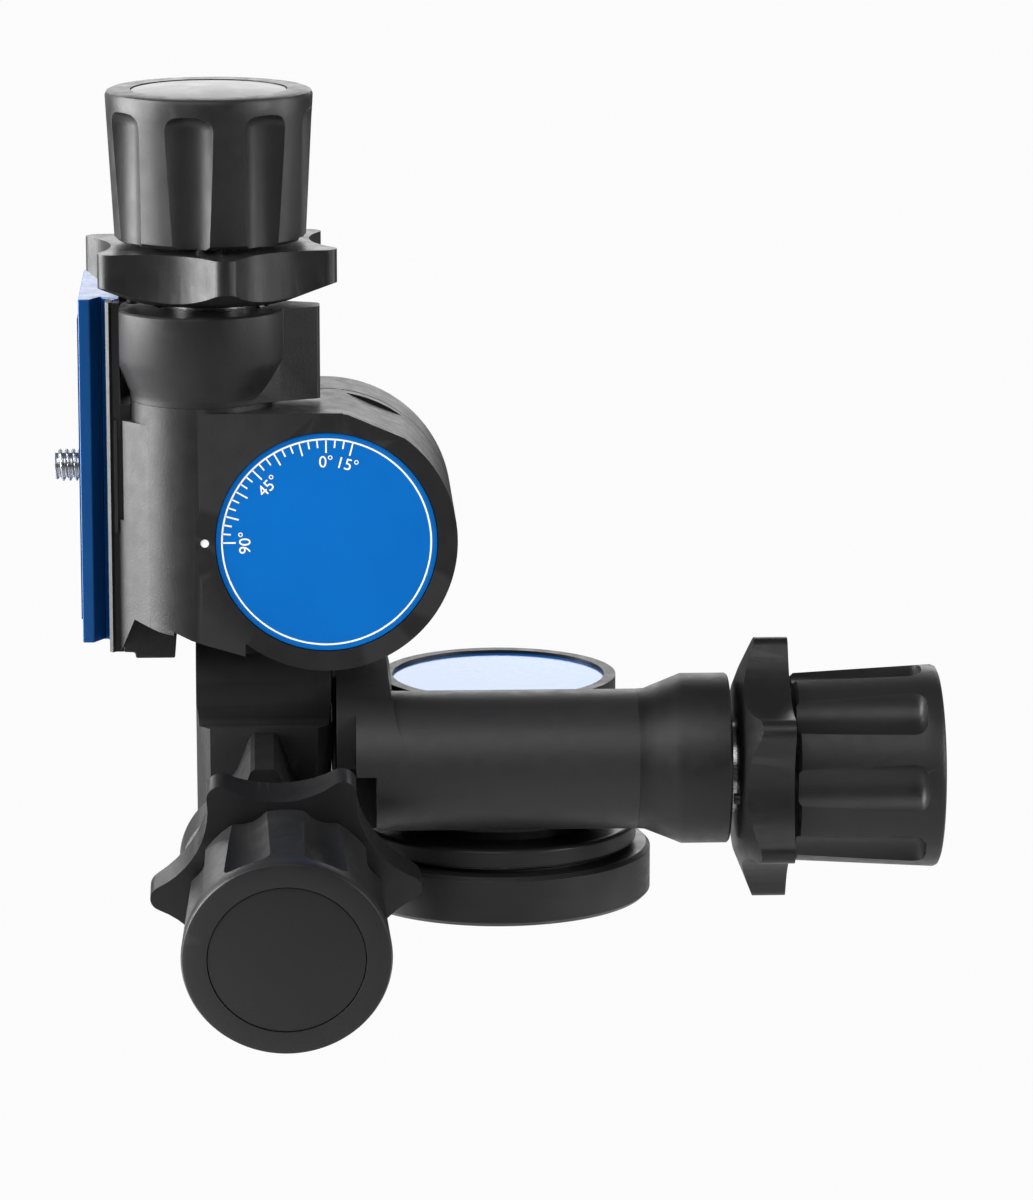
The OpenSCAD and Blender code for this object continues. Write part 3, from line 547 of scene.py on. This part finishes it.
# A prism between two outlines with the same number of corners.
def clamp_piece(name, first, second, bevel_width=0.0):
    count = len(first)
    verts = [clamp_corner + Vector(point) * MM for point in first + second]
    faces = band(0, count, count)
    faces += [tuple(reversed(range(count))), tuple(range(count, 2 * count))]
    mesh = solid_mesh(name, verts, faces)
    dress(new_piece(name, mesh, "side_tilt", "body_black"), bevel_width)


# An upright prism over an outline in X and Y. Its lower height is one number or a list
# with one for each corner.
def upright_piece(name, plan, low, top):
    lows = low if isinstance(low, list) else [low] * len(plan)
    clamp_piece(name, [(x, y, z) for (x, y), z in zip(plan, lows)],
                [(x, y, top) for x, y in plan])


def on_tube(angle, radius):
    return tube + radius * Vector((math.cos(angle), math.sin(angle)))


# Angle round the tube at which a line from the web's left edge touches it
def touch_angle():
    away = WEB_LEFT - tube
    return math.atan2(away.y, away.x) + math.acos(TUBE_RADIUS / away.length)


# The corners past the touching point are hidden in the casting.
def web_and_ridge():
    touch = on_tube(touch_angle(), TUBE_RADIUS)
    along = (touch - WEB_LEFT).normalized()
    heel = WEB_LEFT + along * HEEL_ALONG
    slot = WEB_LEFT + along * SLOT_WIDTH
    behind_touch = touch + Vector((1.5, SUNK))
    upright_piece("clamp_web",
                  [WEB_LEFT, heel, touch, behind_touch, WEB_LEFT + Vector((3.0, SUNK)),
                   WEB_LEFT + Vector((0.0, 2.0))],
                  [WEB_TOE, WEB_HEEL, WEB_BOTTOM, WEB_BOTTOM, WEB_BOTTOM, WEB_TOE],
                  SLOT_BOTTOM)
    upright_piece("clamp_web_top",
                  [slot, touch, behind_touch, slot + Vector((2.0, 3.4))],
                  SLOT_BOTTOM - LAP, SLOT_TOP)
    upright_piece("clamp_ridge",
                  [(0.85, HAIR), (1.4, -0.5), (1.9, -0.5), (1.95, HAIR)],
                  RIDGE_BOTTOM, SLOT_TOP)


# The tube's lower rim drops a little on its way from the web to the drum.
def hem():
    lows = [WEB_BOTTOM, 6.9, 6.65, 6.45, 6.35]
    angles = [touch_angle() + HEM_STEP * step for step in range(len(lows))]
    outer = [on_tube(a, TUBE_RADIUS - HAIR) for a in angles]
    inner = [on_tube(a, TUBE_RADIUS - HEM_WALL) for a in reversed(angles)]
    upright_piece("clamp_hem", outer + inner, lows + lows[::-1], HEM_TOP)


# The foot's outline is in X and Z. It stands a little proud of the front face and runs
# back under the clamp. The lip gets a narrow edge and, higher up, a flat strip.
def foot_and_lip():
    outline = [(2.6, 1.2), (4.7, 1.1), (4.9, 0.0), (12.3, 0.0), (12.7, 4.9), (8.7, 7.7),
               (2.6, 9.2)]
    near, far = -0.6, 13.5
    clamp_piece("clamp_foot", [(x, near, z) for x, z in outline],
                [(x, far, z) for x, z in outline], 0.3)
    upright_piece("clamp_lip_edge", [(-HAIR, 0.0), (0.6, -0.7), (1.1, 0.0)], 1.2, CLAMP_TOP)
    upright_piece("clamp_lip_top",
                  [(1.2, -2 * HAIR), (2.55, -2 * HAIR), (2.55, 2.8), (1.85, 2.8), (1.2, 0.9)],
                  42.2, CLAMP_TOP - LAP)


web_and_ridge()
hem()
foot_and_lip()


# ---------------------------------------------------------------- tilt washer
# Thin friction ring in the gap between the front block and the arm.
WASHER_INNER = 17.1 * MM
WASHER_OUTER = 20.5 * MM
WASHER_THICKNESS = 0.6 * MM
WASHER_AROUND = 72


def tilt_washer():
    centre = centre_of("front_dial")
    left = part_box("pan_housing")[0].x
    right = left + WASHER_THICKNESS
    corners = ((left, WASHER_INNER), (left, WASHER_OUTER), (right, WASHER_OUTER),
               (right, WASHER_INNER))
    verts = [(x, centre.y + r * math.cos(a), centre.z + r * math.sin(a))
             for x, r in corners for a in circle_angles(WASHER_AROUND)]
    starts = [k * WASHER_AROUND for k in range(len(corners))]
    faces = []
    for first, second in zip(starts, starts[1:] + starts[:1]):
        faces += band(first, second, WASHER_AROUND)
    mesh = solid_mesh("tilt_washer", verts, faces)
    dress(new_piece("tilt_washer", mesh, "pan", "deep_black"))


tilt_washer()


# ---------------------------------------------------------------- studio
WHITE = (1.0, 1.0, 1.0, 1.0)
WORLD_STRENGTH = 0.09
FLOOR_DROP = 0.35
FLOOR_HALF = 6.0
FLOOR_GREY = (0.45, 0.45, 0.45, 1.0)
FLOOR_GLOW = 0.97
# Name, place, the point it is aimed at, its two sizes in metres and its power in watts
LIGHTS = (
    ("soft_left", (-1.40, 0.0, 0.40), (-0.03, 0, 0.08), (1.3, 1.3), 95),
    ("soft_right", (1.50, 0.05, 0.30), (0, 0, 0.05), (0.6, 1.0), 11),
    ("window_right", (1.30, -0.80, 0.50), (0, 0, 0.07), (0.45, 0.9), 16),
    ("front_key", (-0.45, -1.25, 1.45), (0, 0, 0.07), (1.8, 1.2), 19),
    ("back_card", (0.0, 1.7, 0.62), (0, 0, 0.05), (2.0, 0.9), 14),
)


def area_light(name, place, target, size, power):
    data = bpy.data.lights.new(name, "AREA")
    data.shape = "RECTANGLE"
    data.size, data.size_y = size
    data.energy = power
    light = add_object(name, data)
    light.location = place
    aim = Vector(target) - Vector(place)
    light.rotation_euler = aim.to_track_quat("-Z", "Y").to_euler()
    light.visible_camera = False


# The camera sees the bright shader, while reflections and bounced light come from the dim
# one, so the backdrop is white and the blacks stay deep.
def white_for_camera(tree, output, dim, bright):
    path = tree.nodes.new("ShaderNodeLightPath")
    swap = tree.nodes.new("ShaderNodeMixShader")
    link(tree, path.outputs["Is Camera Ray"], swap.inputs["Fac"])
    link(tree, dim.outputs[0], swap.inputs[1])
    link(tree, bright.outputs[0], swap.inputs[2])
    link(tree, swap.outputs[0], output.inputs["Surface"])


def backdrop():
    world = bpy.data.worlds.new("studio")
    bpy.context.scene.world = world
    world.use_nodes = True
    tree = world.node_tree
    dim = tree.nodes["Background"]
    dim.inputs["Color"].default_value = WHITE
    dim.inputs["Strength"].default_value = WORLD_STRENGTH
    bright = tree.nodes.new("ShaderNodeBackground")
    bright.inputs["Color"].default_value = WHITE
    bright.inputs["Strength"].default_value = 1.0
    white_for_camera(tree, tree.nodes["World Output"], dim, bright)


def pale_floor():
    corners = [(-FLOOR_HALF, -FLOOR_HALF, 0), (FLOOR_HALF, -FLOOR_HALF, 0),
               (FLOOR_HALF, FLOOR_HALF, 0), (-FLOOR_HALF, FLOOR_HALF, 0)]
    floor = add_object("floor", mesh_from("floor", corners, [(0, 1, 2, 3)]))
    floor.location = (0.0, 0.0, cad_low.z - FLOOR_DROP)
    paper = bpy.data.materials.new("floor_paper")
    paper.use_nodes = True
    tree = paper.node_tree
    dim = tree.nodes["Principled BSDF"]
    dim.inputs["Base Color"].default_value = FLOOR_GREY
    dim.inputs["Roughness"].default_value = 0.9
    bright = tree.nodes.new("ShaderNodeEmission")
    bright.inputs["Strength"].default_value = FLOOR_GLOW
    white_for_camera(tree, tree.nodes["Material Output"], dim, bright)
    floor.data.materials.append(paper)


# Viewpoint of the photograph: long lens, a little above, a little left of straight on.
LOOK_AT = Vector((3.6, 0.0, 57.8)) * MM
ELEVATION = math.radians(12.0)
AZIMUTH = math.radians(-2.5)
DISTANCE = 1100 * MM
# Both in mm, as a camera's data has them
SENSOR_WIDTH = 36.0
FOCAL_LENGTH = 169.5


def camera():
    back = Vector((math.sin(AZIMUTH) * math.cos(ELEVATION),
                   -math.cos(AZIMUTH) * math.cos(ELEVATION), math.sin(ELEVATION)))
    data = bpy.data.cameras.new("camera")
    data.sensor_width = SENSOR_WIDTH
    data.lens = FOCAL_LENGTH
    eye = add_object("camera", data)
    eye.location = LOOK_AT + back * DISTANCE
    eye.rotation_euler = (-back).to_track_quat("-Z", "Y").to_euler()
    bpy.context.scene.camera = eye


bpy.context.scene.view_settings.view_transform = "Standard"
backdrop()
pale_floor()
for light in LIGHTS:
    area_light(*light)
camera()
